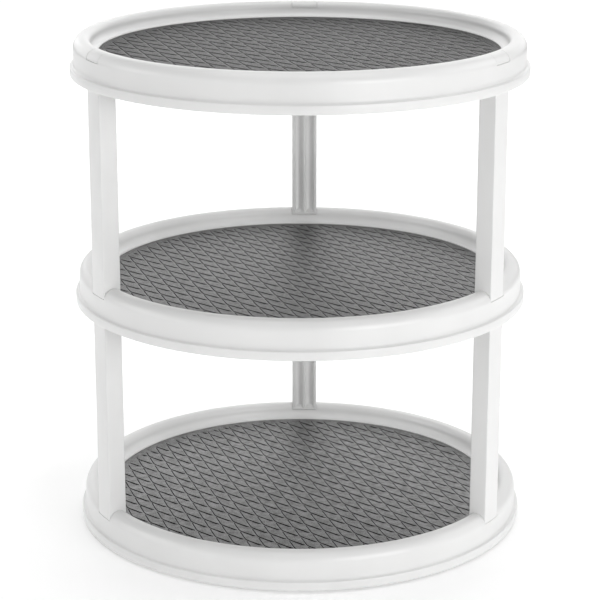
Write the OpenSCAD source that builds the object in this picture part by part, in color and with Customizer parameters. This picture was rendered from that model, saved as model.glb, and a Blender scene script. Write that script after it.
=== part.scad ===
// Three-tier turntable for a kitchen shelf: three round trays held apart by
// plug-in posts, turning as one on a ball race in a low base.
// Origin: centre of the footprint, on the surface the rubber feet stand on.
// +Z is up. The back posts are on +Y.

/* [Tiers] */
// Height from one tray to the next
tier_pitch = 154; // [120:1:200]
// Gap between the bottom tray's flange and the surface it stands on
ground_gap = 1.5; // [1.2:0.1:3]

/* [Trays] */
// Outer diameter of the flange round each tray
tray_d = 304.8; // [250:0.2:380]
// How far the flange stands out from the tray's wall
lip = 2.6; // [1.6:0.1:4]
// Height of the flange
flange_h = 6.1; // [4:0.1:8]
// Height of the rim's crest above the underside of the flange
rim_h = 24.8; // [24:0.1:32]
// Radius of the rim's outer shoulder
rim_out_round = 7.2; // [6:0.1:9]
// Radius of the rim's inner shoulder
rim_in_round = 4.4; // [3.6:0.1:5]
// Radius of the hollow at the foot of the rim's inner side
rim_fillet = 4.6; // [3.6:0.1:5.2]
// Depth of the ledge inside the rim below the crest
rim_drop = 9.8; // [9.2:0.1:12]
// Thickness of the rim's skin
wall_t = 2.4; // [2.2:0.1:3]
// Thickness of the tray's floor
floor_t = 2.4; // [2:0.1:3]
// Height of the stiffening ribs under the floor
rib_h = 3; // [2:0.1:4]
// Thickness of the stiffening ribs
rib_t = 1.4; // [1:0.1:2]

/* [Liners] */
// Thickness of a non-slip liner
liner_t = 0.9; // [0.6:0.1:1.2]
// Depth of the seat that a liner lies in
liner_seat = 1.3; // [1.2:0.1:2]
// Width of the white ledge round a liner's seat
ledge_w = 0.3; // [0.2:0.1:2]
// Clearance round a liner
liner_gap = 0.3; // [0.1:0.1:1]

/* [Posts] */
// Width of a post along the rim
post_w = 18; // [15:0.5:24]
// Depth of a post from its outer face inwards
post_d = 12.2; // [12:0.1:14]
// How far a post's outer face stands inside the tray's wall
post_inset = 0.1; // [0.1:0.1:0.4]
// Width of each of the two flutes in a post
flute_w = 6.6; // [4:0.1:6.8]
// Depth of the flutes
flute_d = 3.4; // [3.4:0.1:8]
// Thickness of the rib between the flutes
flute_rib_t = 1.4; // [1.2:0.1:3]
// Thickness of the plates that close the flutes at both ends
end_plate_t = 1.2; // [1:0.1:3]

/* [Plug-in joints] */
// Depth of the saddle in the rim that a post or a cap sits in
saddle_t = 1.2; // [0.9:0.1:1.3]
// Drop of the saddle's outer edge below the rim's crest
saddle_out_drop = 6.5; // [5.5:0.1:7]
// Drop of the saddle's inner edge below the rim's crest
saddle_in_drop = 4.7; // [4:0.1:4.8]
// Height of the notch under a post's inner edge
notch_h = 0.9; // [0.4:0.1:1.2]
// Width of the tongue under a post or a cap
tongue_w = 9; // [6:0.1:10]
// Thickness of the tongue
tongue_t = 3.6; // [3:0.1:4]
// Reach of the tongue below the rim's crest
tongue_l = 10.4; // [8:0.1:11]
// How far the tongue's hook stands out
hook_d = 0.8; // [0.4:0.1:1]
// Width of the tenon on top of a post
tenon_w = 13; // [9:0.1:13.5]
// Radial thickness of the tenon
tenon_t = 6; // [4:0.1:6.2]
// Height of the tenon above the post's shoulder
tenon_h = 11; // [6:0.1:11.5]
// Clearance round tongues, tenons and saddles
fit_gap = 0.12; // [0.1:0.01:0.3]

/* [Base] */
// Outer diameter of the base plate
base_d = 230; // [216:1:236]
// Thickness of the base plate
base_t = 2.2; // [2:0.1:2.4]
// Height of the base plate's underside above the surface it stands on
base_lift = 2; // [1.8:0.1:2.4]
// Height of the upturned edge above the base plate's underside
base_edge_h = 6; // [4:0.1:7]
// Diameter of a rubber foot
foot_d = 16; // [10:0.5:20]
// Diameter of the circle that the feet stand on
foot_ring_d = 196; // [180:1:200]
// Depth of the pocket that a foot is glued into
foot_seat = 1; // [0.6:0.1:1.2]

/* [Ball race] */
// Diameter of the circle that the balls run on
race_d = 140; // [120:1:150]
// Diameter of a ball
ball_d = 5; // [4:0.1:7]
// Number of balls
ball_count = 24; // [12:1:36]
// Clearance between a ball and each race
race_gap = 0.05; // [0.03:0.01:0.08]
// Depth of the race grooves
groove_d = 0.6; // [0.4:0.1:0.8]
// Width of the ring that carries the upper race
race_w = 10; // [8:0.5:12]
// Width of the ball cage
cage_w = 16; // [12:0.5:18]
// Thickness of the ball cage
cage_t = 1.8; // [1.4:0.1:2]
// Clearance between a ball and its pocket in the cage
pocket_gap = 0.15; // [0.1:0.01:0.3]

/* [Pivot] */
// Diameter of the spigot that turns in the base plate's hub
spigot_d = 12; // [11:0.1:16]
// Radial clearance between the spigot and the hub
spigot_gap = 0.08; // [0.05:0.01:0.1]
// Height of the hub's underside above the surface the base stands on
hub_lift = 4.7; // [4.2:0.1:6]
// Outer diameter of the hub
hub_d = 34; // [30:0.5:40]
// End clearance of the pivot
end_play = 0.3; // [0.3:0.05:0.5]
// Diameter of the pivot screw's thread
screw_d = 3.5; // [3:0.1:4]
// How deep the screw's thread cuts into the wall of its pilot hole
thread_bite = 0.15; // [0.1:0.05:0.4]
// Diameter of the pivot screw's head
screw_head_d = 7.6; // [7:0.1:9]
// Height of the pivot screw's head
screw_head_h = 1.7; // [1.4:0.1:2]
// Length of the thread that is in the spigot
thread_l = 7.6; // [5:0.1:8]
// Outer diameter of the pivot washer
washer_d = 18; // [16:0.5:22]
// Thickness of the pivot washer
washer_t = 1; // [0.8:0.1:1.2]

/* [Hidden] */

$fn = 96;
eps = 0.02;               // overrun of a cut past the face it opens
seat_gap = 0.05;          // gap between two faces that rest on each other
arc_steps = 8;            // straight steps in a quarter turn of an outline
edge_round = 0.9;         // rounding of the flange's edges
reach = 1;                // overlap of two shapes that are joined or cut clear through
socket_rib_t = 1.6;       // thickness of the two ribs that hold a tenon
tongue_shift = 0.8;       // how far the tongue's middle lies outside the rim's crest line
tenon_wall_gap = 0.4;     // gap between a tenon and the inside of the rim's wall
tongue_bevel = 0.6;       // depth of the lead-in at the tongue's tip
hook_lead = 1;            // height of each slope of the tongue's hook
hook_play = 1.8;          // gap between the hook and the underside of the rim's skin
upper_rib_r = 24;         // radius at which the upper trays' ribs start
rib_end = 1;              // gap between the ribs' ends and the rim
shoulder_w = 4;           // width of the shoulder round the spigot
thread_end = 1;           // depth of the pilot hole past the end of the thread
slot_end = 3;             // depth of a tongue's slot below the rim's skin
plate_rib_gap = 2;        // gap between the ball cage and the base plate's ribs
plate_rib_drop = 1;       // drop of those ribs below the top of the base plate's rim
plate_round = 0.6;        // bevel on the edges of the base plate's rim
plate_edge_t = 2.2;       // thickness of the base plate's rim
hub_slope_w = 4;          // width of the slope from the hub down to the base plate
hub_flat_w = 2;           // width of the flat ring inside that slope, underneath
back_angle = 90;
left_angle = 210;
right_angle = 330;
post_angles = [back_angle, left_angle, right_angle];
foot_count = 6;
rib_count = 12;

tray_r = tray_d / 2;
wall_r = tray_r - lip;
crest_r = wall_r - rim_out_round;
ledge_r = crest_r - rim_in_round - rim_fillet;
ledge_h = rim_h - rim_drop;
seat_r = ledge_r - ledge_w;
floor_h = ledge_h - liner_seat;
floor_under_h = floor_h - floor_t;
liner_r = seat_r - liner_gap;
post_out_r = wall_r - post_inset;
post_in_r = post_out_r - post_d;
tongue_r = crest_r + tongue_shift;
slot_w = tongue_w + 2 * fit_gap;
slot_t = tongue_t + 2 * fit_gap;
slot_depth = wall_t + slot_end;
tenon_out_r = wall_r - wall_t - tenon_wall_gap;
tenon_in_r = tenon_out_r - tenon_t;
saddle_out_h = rim_h - saddle_out_drop;
saddle_in_h = rim_h - saddle_in_drop;

base_r = base_d / 2;
base_top = base_lift + base_t;
race_r = race_d / 2;
ball_r = ball_d / 2;
ball_z = base_top - groove_d + race_gap + ball_r;
race_under = ball_z + ball_r + race_gap - groove_d;
tray_under = ground_gap + floor_under_h;
spigot_r = spigot_d / 2;
hub_r = hub_d / 2;
hub_bore_r = spigot_r + spigot_gap;
hub_top = hub_lift + base_t;
spigot_end = hub_lift - end_play;
shoulder_r = spigot_r + shoulder_w;
pilot_r = screw_d / 2 - thread_bite;

plastic_white = [0.93, 0.93, 0.92];
liner_grey = [0.36, 0.37, 0.38];
rubber_black = [0.12, 0.12, 0.12];
steel = [0.70, 0.71, 0.73];
cage_white = [0.85, 0.86, 0.84];

// Points on an arc about [x, y] from angle a0 to angle a1
function arc(x, y, r, a0, a1) = [
  for (i = [0 : arc_steps])
    let (a = a0 + (a1 - a0) * i / arc_steps)
    [x + r * cos(a), y + r * sin(a)]
];

// Outline of the rim, from the foot of the wall over the crest to the ledge,
// set back into the rim by d
function rim_skin(d) = concat(
  [[wall_r - d, flange_h]],
  arc(crest_r, rim_h - rim_out_round, rim_out_round - d, 0, 90),
  arc(crest_r, rim_h - rim_in_round, rim_in_round - d, 90, 180),
  arc(ledge_r, ledge_h + rim_fillet, rim_fillet + d, 0, -90)
);

function reversed(points) = [for (i = [len(points) - 1 : -1 : 0]) points[i]];

// Section of a tray: rim, flange, ledge, liner seat and floor
function tray_section() = concat(
  arc(tray_r - edge_round, edge_round, edge_round, -90, 0),
  arc(tray_r - edge_round, flange_h - edge_round, edge_round, 0, 90),
  rim_skin(0),
  [[seat_r, ledge_h], [seat_r, floor_h], [0, floor_h], [0, floor_under_h]],
  [[ledge_r, floor_under_h]],
  reversed(rim_skin(wall_t)),
  [[wall_r - wall_t, 0]]
);

// Everything below the rim's skin set back by d
module under_skin(d) {
  rotate_extrude()
    polygon(concat(
      [[0, -reach], [wall_r - d, -reach]],
      rim_skin(d),
      [[0, ledge_h - d]]
    ));
}

// A block that stands on the rim, above its skin set back by d, from
// radius r0 to radius r1 and up to height top; grow widens it all round
module over_skin(d, r0, r1, top, grow) {
  difference() {
    translate([r0, -post_w / 2 - grow, saddle_out_h - grow])
      cube([r1 - r0, post_w + 2 * grow, top - saddle_out_h + grow]);
    under_skin(d);
    translate([r0 - reach, -post_w, 0])
      cube([crest_r - r0 + reach, 2 * post_w, saddle_in_h - grow]);
  }
}

// Tongue with its hook, on a post or a cap
module tongue() {
  root = rim_h - saddle_t + seat_gap + saddle_t / 2;
  tip = rim_h - tongue_l;
  hook_top = rim_h - wall_t - hook_play;
  x0 = tongue_r - tongue_t / 2;
  x1 = tongue_r + tongue_t / 2;
  translate([0, tongue_w / 2, 0])
    rotate([90, 0, 0])
      linear_extrude(tongue_w)
        polygon([
          [x0, root], [x0, tip], [x1 - tongue_bevel, tip], [x1, tip + hook_lead],
          [x1 + hook_d, hook_top - hook_lead], [x1 + hook_d, hook_top],
          [x1, hook_top], [x1, root]
        ]);
}

// Outline of a post from above, without its flutes
module post_outline() {
  intersection() {
    circle(post_out_r);
    translate([post_in_r, -post_w / 2])
      square([post_d, post_w]);
  }
}

// Outline of the two flutes, open to the inside of the tray
module flute_outline() {
  for (side = [-1, 1])
    translate([post_in_r + flute_d - flute_w / 2, side * (flute_rib_t + flute_w) / 2]) {
      circle(flute_w / 2);
      translate([-flute_d, -flute_w / 2])
        square([flute_d, flute_w]);
    }
}

// The flutes, from the plate that lies on the rim to the plate at the shoulder
module flutes() {
  floor_z = saddle_in_h + notch_h + end_plate_t;
  difference() {
    translate([0, 0, floor_z])
      linear_extrude(tier_pitch - end_plate_t - floor_z)
        flute_outline();
    under_skin(saddle_t - seat_gap - end_plate_t);
  }
}

// Notch that keeps a post's inner edge clear of the rim
module foot_notch() {
  notch_r = crest_r - rim_in_round + saddle_t + reach;
  translate([post_in_r - reach, -post_w, 0])
    cube([notch_r - post_in_r + reach, 2 * post_w, saddle_in_h + notch_h]);
}

// One post, standing on a tray whose flange is at z = 0
module post() {
  shoulder = tier_pitch - seat_gap;
  difference() {
    intersection() {
      over_skin(saddle_t - seat_gap, post_in_r, wall_r, shoulder, 0);
      linear_extrude(shoulder)
        post_outline();
    }
    flutes();
    foot_notch();
  }
  translate([tenon_in_r, -tenon_w / 2, shoulder])
    cube([tenon_t, tenon_w, tenon_h]);
  tongue();
}

// Closes a post's saddle in the rim, flush with the rim
module socket_cap() {
  intersection() {
    under_skin(0);
    over_skin(saddle_t - seat_gap, post_in_r, tray_r, rim_h + reach, 0);
  }
  tongue();
}

// Hollow of the rim, reaching a little into its skin
module rim_hollow() {
  bite = 0.3;
  foot_h = 0.6;
  rotate_extrude()
    polygon(concat(
      [[ledge_r, foot_h], [wall_r - wall_t + bite, foot_h]],
      rim_skin(wall_t - bite)
    ));
}

// The two ribs inside the rim that hold a post's tenon
module tenon_socket() {
  socket_y = (tenon_w + socket_rib_t) / 2 + fit_gap;
  intersection() {
    rim_hollow();
    for (side = [-1, 1])
      translate([tenon_in_r - reach, side * socket_y - socket_rib_t / 2, 0])
        cube([tray_r - tenon_in_r, socket_rib_t, rim_h]);
  }
}

// Stiffening ribs under a tray's floor, from radius r0 outwards
module floor_ribs(r0) {
  for (i = [0 : rib_count - 1])
    rotate((i + 0.5) * 360 / rib_count)
      translate([r0, -rib_t / 2, floor_under_h - rib_h])
        cube([ledge_r - r0 - rib_end, rib_t, rib_h + eps]);
}

module tray_blank(rib_r) {
  rotate_extrude()
    polygon(tray_section());
  floor_ribs(rib_r);
}

module tray_joint_cuts() {
  for (a = post_angles)
    rotate(a) {
      over_skin(saddle_t, post_in_r - reach, tray_r, rim_h + reach, fit_gap);
      translate([tongue_r - slot_t / 2, -slot_w / 2, rim_h - slot_depth])
        cube([slot_t, slot_w, slot_depth + reach]);
    }
}

// Tray carried on posts
module upper_tray() {
  difference() {
    union() {
      tray_blank(upper_rib_r);
      for (a = post_angles)
        rotate(a)
          tenon_socket();
    }
    tray_joint_cuts();
  }
}

// Groove that the balls run in
module race_groove() {
  translate([0, 0, ball_z])
    rotate_extrude()
      translate([race_r, 0])
        circle(ball_r + race_gap);
}

module ring(r_in, r_out, z0, z1) {
  translate([0, 0, z0])
    rotate_extrude()
      translate([r_in, 0])
        square([r_out - r_in, z1 - z0]);
}

module bottom_tray() {
  color(plastic_white)
    difference() {
      union() {
        translate([0, 0, ground_gap]) {
          difference() {
            tray_blank(race_r + race_w / 2 - reach);
            tray_joint_cuts();
          }
        }
        ring(race_r - race_w / 2, race_r + race_w / 2, race_under, tray_under + eps);
        translate([0, 0, hub_top + end_play])
          cylinder(r = shoulder_r, h = tray_under + eps - hub_top - end_play);
        translate([0, 0, spigot_end])
          cylinder(r = spigot_r, h = tray_under + eps - spigot_end);
      }
      race_groove();
      translate([0, 0, spigot_end - eps])
        cylinder(r = pilot_r, h = thread_l + thread_end + eps);
    }
}

module middle_tray() {
  color(plastic_white)
    translate([0, 0, ground_gap + tier_pitch])
      upper_tray();
}

module top_tray() {
  color(plastic_white)
    translate([0, 0, ground_gap + 2 * tier_pitch])
      upper_tray();
}

module liner(tier) {
  edge = 0.25;
  color(liner_grey)
    translate([0, 0, ground_gap + tier * tier_pitch + floor_h])
      rotate_extrude()
        polygon([
          [0, 0], [liner_r, 0], [liner_r, liner_t - edge],
          [liner_r - edge, liner_t], [0, liner_t]
        ]);
}

module placed_post(tier, angle) {
  color(plastic_white)
    translate([0, 0, ground_gap + tier * tier_pitch])
      rotate(angle)
        post();
}

module placed_cap(angle) {
  color(plastic_white)
    translate([0, 0, ground_gap + 2 * tier_pitch])
      rotate(angle)
        socket_cap();
}

module base_plate() {
  slope_r = hub_r + hub_slope_w;
  edge_top = base_lift + base_edge_h;
  rib_r = race_r + cage_w / 2 + plate_rib_gap;
  color(plastic_white)
    difference() {
      union() {
        rotate_extrude()
          polygon([
            [hub_bore_r, hub_lift], [hub_r - hub_flat_w, hub_lift],
            [slope_r - hub_flat_w / 2, base_lift], [base_r - plate_round, base_lift],
            [base_r, base_lift + plate_round], [base_r, edge_top - plate_round],
            [base_r - plate_round, edge_top], [base_r - plate_edge_t, edge_top],
            [base_r - plate_edge_t, base_top], [slope_r, base_top],
            [hub_r - hub_flat_w / 2, hub_top], [hub_bore_r, hub_top]
          ]);
        for (i = [0 : rib_count - 1])
          rotate(i * 360 / rib_count)
            translate([rib_r, -rib_t / 2, base_top - eps])
              cube([base_r - plate_edge_t / 2 - rib_r, rib_t, base_edge_h - base_t - plate_rib_drop]);
      }
      race_groove();
      for (i = [0 : foot_count - 1])
        foot_place(i)
          translate([0, 0, base_lift - eps])
            cylinder(d = foot_d + 2 * seat_gap, h = foot_seat + seat_gap + eps);
    }
}

module foot_place(i) {
  rotate((i + 0.5) * 360 / foot_count)
    translate([foot_ring_d / 2, 0, 0])
      children();
}

module foot(i) {
  r = foot_d / 2;
  bevel = 0.5;
  color(rubber_black)
    foot_place(i)
      rotate_extrude()
        polygon([
          [0, 0], [r - bevel, 0], [r, bevel],
          [r, base_lift + foot_seat], [0, base_lift + foot_seat]
        ]);
}

module ball_places() {
  for (i = [0 : ball_count - 1])
    rotate(i * 360 / ball_count)
      translate([race_r, 0, ball_z])
        children();
}

module ball_cage() {
  color(cage_white)
    difference() {
      ring(race_r - cage_w / 2, race_r + cage_w / 2, ball_z - cage_t / 2, ball_z + cage_t / 2);
      ball_places()
        cylinder(r = ball_r + pocket_gap, h = cage_t + 2 * eps, center = true);
    }
}

module bearing_balls() {
  color(steel)
    ball_places()
      sphere(ball_r);
}

module pivot_washer() {
  bore_gap = 0.25;
  color(steel)
    ring(screw_d / 2 + bore_gap, washer_d / 2, spigot_end - washer_t, spigot_end);
}

module pivot_screw() {
  head_top = spigot_end - washer_t;
  head_r = screw_head_d / 2;
  head_round = 0.6;
  cross_w = 0.9;
  cross_l = 4.2;
  cross_depth = 1;
  tip_l = 1;
  tip_bevel = 0.7;
  thread_top = spigot_end + thread_l;
  color(steel)
    difference() {
      rotate_extrude()
        polygon(concat(
          [[0, head_top - screw_head_h]],
          arc(head_r - head_round, head_top - screw_head_h + head_round, head_round, -90, 0),
          [[head_r, head_top], [screw_d / 2, head_top]],
          [[screw_d / 2, thread_top - tip_l], [screw_d / 2 - tip_bevel, thread_top]],
          [[0, thread_top]]
        ));
      for (a = [0, 90])
        rotate(a)
          translate([-cross_l / 2, -cross_w / 2, head_top - screw_head_h - eps])
            cube([cross_l, cross_w, cross_depth + eps]);
    }
}

base_plate();
foot(0);  // foot_1
foot(1);  // foot_2
foot(2);  // foot_3
foot(3);  // foot_4
foot(4);  // foot_5
foot(5);  // foot_6
ball_cage();
bearing_balls();
pivot_screw();
pivot_washer();
bottom_tray();
middle_tray();
top_tray();
liner(0);  // bottom_liner
liner(1);  // middle_liner
liner(2);  // top_liner
placed_post(0, back_angle);  // lower_post_back
placed_post(0, left_angle);  // lower_post_left
placed_post(0, right_angle);  // lower_post_right
placed_post(1, back_angle);  // upper_post_back
placed_post(1, left_angle);  // upper_post_left
placed_post(1, right_angle);  // upper_post_right
placed_cap(back_angle);  // socket_cap_back
placed_cap(left_angle);  // socket_cap_left
placed_cap(right_angle);  // socket_cap_right
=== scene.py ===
import math

import bpy
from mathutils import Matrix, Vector
from mathutils.geometry import delaunay_2d_cdt

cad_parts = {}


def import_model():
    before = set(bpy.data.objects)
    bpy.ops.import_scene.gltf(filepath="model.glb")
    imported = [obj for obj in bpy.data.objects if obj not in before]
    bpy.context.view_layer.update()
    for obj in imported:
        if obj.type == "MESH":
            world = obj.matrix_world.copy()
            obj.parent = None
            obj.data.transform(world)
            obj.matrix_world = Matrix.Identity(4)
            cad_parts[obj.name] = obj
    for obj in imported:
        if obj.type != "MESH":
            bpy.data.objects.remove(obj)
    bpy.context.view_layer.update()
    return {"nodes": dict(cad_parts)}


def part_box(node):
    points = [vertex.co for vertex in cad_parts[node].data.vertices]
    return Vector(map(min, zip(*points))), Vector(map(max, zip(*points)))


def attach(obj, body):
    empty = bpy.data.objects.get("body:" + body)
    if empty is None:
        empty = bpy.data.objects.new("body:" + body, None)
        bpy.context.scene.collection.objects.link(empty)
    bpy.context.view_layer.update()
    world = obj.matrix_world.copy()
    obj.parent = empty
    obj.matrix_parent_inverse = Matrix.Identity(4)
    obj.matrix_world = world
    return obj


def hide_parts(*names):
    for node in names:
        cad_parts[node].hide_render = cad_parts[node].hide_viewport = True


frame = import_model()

MM = 0.001

# ---------------------------------------------------------------- sizes from the frame
tray_low, tray_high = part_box("bottom_tray")
post_low, post_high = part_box("lower_post_back")
liner_low, liner_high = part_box("bottom_liner")
ball_low, ball_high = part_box("bearing_balls")

TRAY_R = tray_high[0]
FLANGE_Z = tray_low[2]
RIM_H = tray_high[2] - tray_low[2]
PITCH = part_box("middle_tray")[0][2] - tray_low[2]
TIERS = ["bottom", "middle", "top"]
LINER_R = liner_high[0]
LINER_T = liner_high[2] - liner_low[2]
FLOOR_H = liner_low[2] - FLANGE_Z
POST_W = post_high[0] - post_low[0]
POST_IN_R = post_low[1]
POST_OUT_R = post_high[1]
TENON_TOP = post_high[2] - FLANGE_Z
POST_ANGLES = {"back": 90.0, "left": 210.0, "right": 330.0}
BALL_R = (ball_high[2] - ball_low[2]) / 2
BALL_Z = (ball_high[2] + ball_low[2]) / 2
RACE_R = ball_high[0] - BALL_R
SPIGOT_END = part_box("pivot_washer")[1][2]

# ---------------------------------------------------------------- sizes of the mouldings
LIP = 2.6 * MM
FLANGE_H = 6.1 * MM
FLANGE_ROUND = 0.9 * MM
UNDER_ROUND = 0.4 * MM
STEP_ROUND = 1.5 * MM
OUT_ROUND = 7.2 * MM
IN_ROUND = 4.4 * MM
FILLET = 4.6 * MM
WALL_T = 2.4 * MM
FLOOR_T = 2.4 * MM
LEDGE_W = 0.3 * MM
LEDGE_BEVEL_W = 0.1 * MM
LEDGE_BEVEL_H = 0.15 * MM
SEAT_DEPTH = 1.3 * MM
SADDLE_T = 1.2 * MM
SADDLE_OUT_DROP = 6.5 * MM
SADDLE_IN_DROP = 4.7 * MM
SADDLE_EDGE = 0.04 * MM
NOTCH_H = 0.9 * MM
SEAM = 0.2 * MM
FOOT_SEAM = 0.25 * MM
CONTACT_GAP = 0.05 * MM
RIB_H = 3.0 * MM
RIB_T = 1.4 * MM
RIB_COUNT = 12
RIB_START_R = 24 * MM
RIB_INSET = 1 * MM
RIB_SINK = 0.5 * MM
FLUTE_W = 6.6 * MM
FLUTE_D = 3.4 * MM
FLUTE_RIB_T = 1.4 * MM
END_PLATE_T = 1.2 * MM
PLATE_EDGE_H = 0.05 * MM
FOOT_FILLET_H = 0.4 * MM
HEAD_FILLET_H = 1.2 * MM
POST_IN_ROUND = 0.5 * MM
POST_OUT_ROUND = 0.6 * MM
FLUTE_EDGE = 0.2 * MM
TONGUE_W = 9.0 * MM
TONGUE_T = 3.6 * MM
TONGUE_L = 10.4 * MM
TONGUE_SHIFT = 0.8 * MM
HOOK_D = 0.8 * MM
HOOK_RAMP = 1.0 * MM
HOOK_DROP = 1.8 * MM
TONGUE_SINK = 0.4 * MM
TONGUE_BEVEL = 0.4 * MM
TONGUE_TIP = 0.6 * MM
TENON_W = 13.0 * MM
TENON_T = 6.0 * MM
TENON_GAP = 0.12 * MM
TENON_INSET = 0.4 * MM
TENON_SINK = 0.4 * MM
TENON_BEVEL = 0.6 * MM
SOCKET_RIB_T = 1.6 * MM
SOCKET_RIB_LOW = 0.6 * MM
SOCKET_RIB_REACH = 2.0 * MM
CAP_EDGE = 0.25 * MM
RACE_GAP = 0.05 * MM
RACE_GROOVE_D = 0.6 * MM
RACE_W = 10.0 * MM
SPIGOT_R = 6.0 * MM
SPIGOT_BEVEL = 0.4 * MM
SHOULDER_R = 10.0 * MM
SHOULDER_Z = 7.2 * MM
PILOT_R = 1.75 * MM
PILOT_FLOOR = 2.2 * MM

SHARP_ANGLE = 32.0          # edges steeper than this many degrees are drawn sharp
POST_SHARP_ANGLE = 35.0
LINER_SHARP_ANGLE = 2.0     # keeps shading off the liners' large flat triangles

WALL_R = TRAY_R - LIP
CREST_R = WALL_R - OUT_ROUND
LEDGE_R = CREST_R - IN_ROUND - FILLET
LEDGE_H = FLOOR_H + SEAT_DEPTH
SEAT_R = LEDGE_R - LEDGE_W
UNDER_H = FLOOR_H - FLOOR_T
OUT_Z = RIM_H - OUT_ROUND
IN_Z = RIM_H - IN_ROUND
SADDLE_LOW_Z = RIM_H - SADDLE_OUT_DROP
SADDLE_IN_Z = RIM_H - SADDLE_IN_DROP
NOTCH_R = CREST_R - IN_ROUND + SADDLE_T
NOTCH_Z = SADDLE_IN_Z + NOTCH_H
SADDLE_ANGLE = math.degrees(math.asin((SADDLE_LOW_Z - OUT_Z) / OUT_ROUND))
SEAM_ANGLE = math.degrees(math.asin((SADDLE_LOW_Z - FOOT_SEAM - OUT_Z) / OUT_ROUND))
TONGUE_R = CREST_R + TONGUE_SHIFT
TENON_OUT_R = WALL_R - WALL_T - TENON_INSET


# ---------------------------------------------------------------- small geometry helpers
def arc(x, z, r, a0, a1, steps):
    """Points on an arc about (x, z), angles in degrees."""
    points = []
    for i in range(steps + 1):
        a = math.radians(a0 + (a1 - a0) * i / steps)
        points.append((x + r * math.cos(a), z + r * math.sin(a)))
    return points


def rim_height(radius, d):
    """Height of the rim's skin, set back by d, at a radius outside the inner shoulder."""
    if radius >= CREST_R:
        r = OUT_ROUND - d
        return OUT_Z + math.sqrt(max(r * r - (radius - CREST_R) ** 2, 0.0))
    r = IN_ROUND - d
    return IN_Z + math.sqrt(max(r * r - (CREST_R - radius) ** 2, 0.0))


def polar(radius, angle, y=0.0):
    """Point at a radius along an angle in degrees, shifted sideways by y."""
    c = math.cos(math.radians(angle))
    s = math.sin(math.radians(angle))
    return (radius * c - y * s, radius * s + y * c)


def make_mesh(name, verts, faces, sharp_deg=SHARP_ANGLE):
    """Object from vertices and faces, smooth but for its sharp edges."""
    mesh = bpy.data.meshes.new(name)
    mesh.from_pydata(verts, [], faces)
    mesh.validate()
    mesh.shade_smooth()
    mesh.set_sharp_from_angle(angle=math.radians(sharp_deg))
    obj = bpy.data.objects.new(name, mesh)
    bpy.context.scene.collection.objects.link(obj)
    return obj


def boxes(specs):
    """Closed boxes, each given by its eight corners, as (verts, faces)."""
    verts = []
    faces = []
    for corners in specs:
        n = len(verts)
        verts += corners
        faces += [
            (n, n + 3, n + 2, n + 1), (n + 4, n + 5, n + 6, n + 7),
            (n, n + 1, n + 5, n + 4), (n + 1, n + 2, n + 6, n + 5),
            (n + 2, n + 3, n + 7, n + 6), (n + 3, n, n + 4, n + 7),
        ]
    return verts, faces


def box_at(angle, r0, r1, y0, y1, z0, z1):
    """Corners of a box along a radius at an angle."""
    corners = []
    for z in (z0, z1):
        for r, y in ((r0, y0), (r1, y0), (r1, y1), (r0, y1)):
            corners.append(polar(r, angle, y) + (z,))
    return corners


def boolean(target, cutter, operation):
    """Joins or cuts target with cutter and deletes the cutter."""
    modifier = target.modifiers.new("join", "BOOLEAN")
    modifier.operation = operation
    modifier.solver = "EXACT"
    modifier.object = cutter
    graph = bpy.context.evaluated_depsgraph_get()
    mesh = bpy.data.meshes.new_from_object(target.evaluated_get(graph))
    target.modifiers.clear()
    old = target.data
    target.data = mesh
    bpy.data.meshes.remove(old)
    bpy.data.objects.remove(cutter)


def dress(obj, body, materials, node=None):
    """Puts a piece on its body, with its materials."""
    obj.data.materials.clear()
    for material in materials:
        obj.data.materials.append(material)
    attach(obj, body)
    if node:
        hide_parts(node)


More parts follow.
